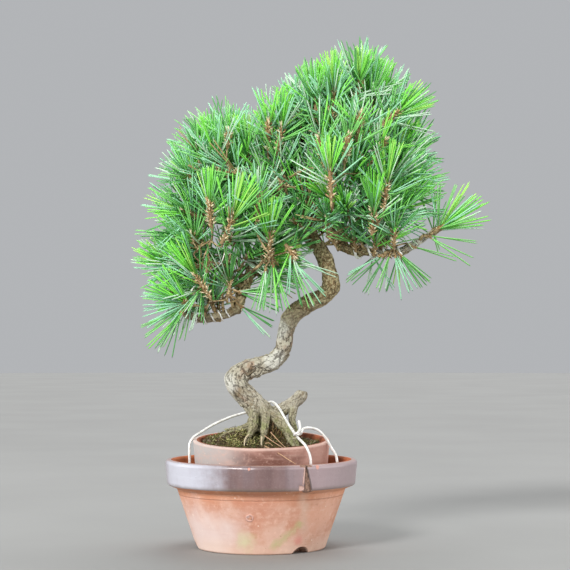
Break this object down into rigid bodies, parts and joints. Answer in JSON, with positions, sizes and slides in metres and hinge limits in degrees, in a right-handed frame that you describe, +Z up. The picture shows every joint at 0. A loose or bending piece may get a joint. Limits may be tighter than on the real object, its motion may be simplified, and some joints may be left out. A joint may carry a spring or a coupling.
{
  "type": "black pine bonsai in a clay pot",
  "caption": "Informal black pine bonsai with a winding trunk and exposed roots, wired down in a clay pot that stands in a wider clay pan.",
  "frame": {"origin": "centre of the pan's flat foot, on the surface that it stands on", "axes": "+Z up; the front of the tree looks along -Y; its long low branch reaches along +X"},
  "size_m": [0.3393, 0.1801, 0.4796],
  "materials": {
    "pan_clay": "matte",
    "pot_clay": "matte",
    "mossy_soil": "matte",
    "bark": "matte",
    "needles": "satin",
    "aluminium_wire": "satin"
  },
  "bodies": {
    "root": {"outer_pan": "pan_clay", "training_pot": "pot_clay", "root_ball": "mossy_soil", "trunk": "bark", "root_front_left": "bark", "root_front": "bark", "root_right": "bark", "root_left": "bark", "root_back_left": "bark", "root_back_right": "bark", "root_stub": "bark", "root_stub_leg": "bark", "bough_right_low": "bark", "bough_left_low": "bark", "bough_left_drop": "bark", "bough_left_bottom": "bark", "foliage_apex_left": "needles", "foliage_apex_right": "needles", "foliage_right_shoulder": "needles", "foliage_right_middle": "needles", "foliage_centre_high": "needles", "foliage_centre_front": "needles", "foliage_right_low": "needles", "foliage_right_tip": "needles", "foliage_right_under": "needles", "foliage_left_top": "needles", "foliage_middle_top": "needles", "foliage_centre": "needles", "foliage_left_upper": "needles", "foliage_left_front": "needles", "foliage_left_low": "needles", "foliage_left_bottom": "needles", "foliage_low_middle": "needles", "foliage_low_centre": "needles", "foliage_back_high": "needles", "foliage_back_left": "needles", "foliage_back_right": "needles", "foliage_back_low": "needles", "tie_wire_long": "aluminium_wire", "tie_wire_short": "aluminium_wire"}
  },
  "joints": []
}
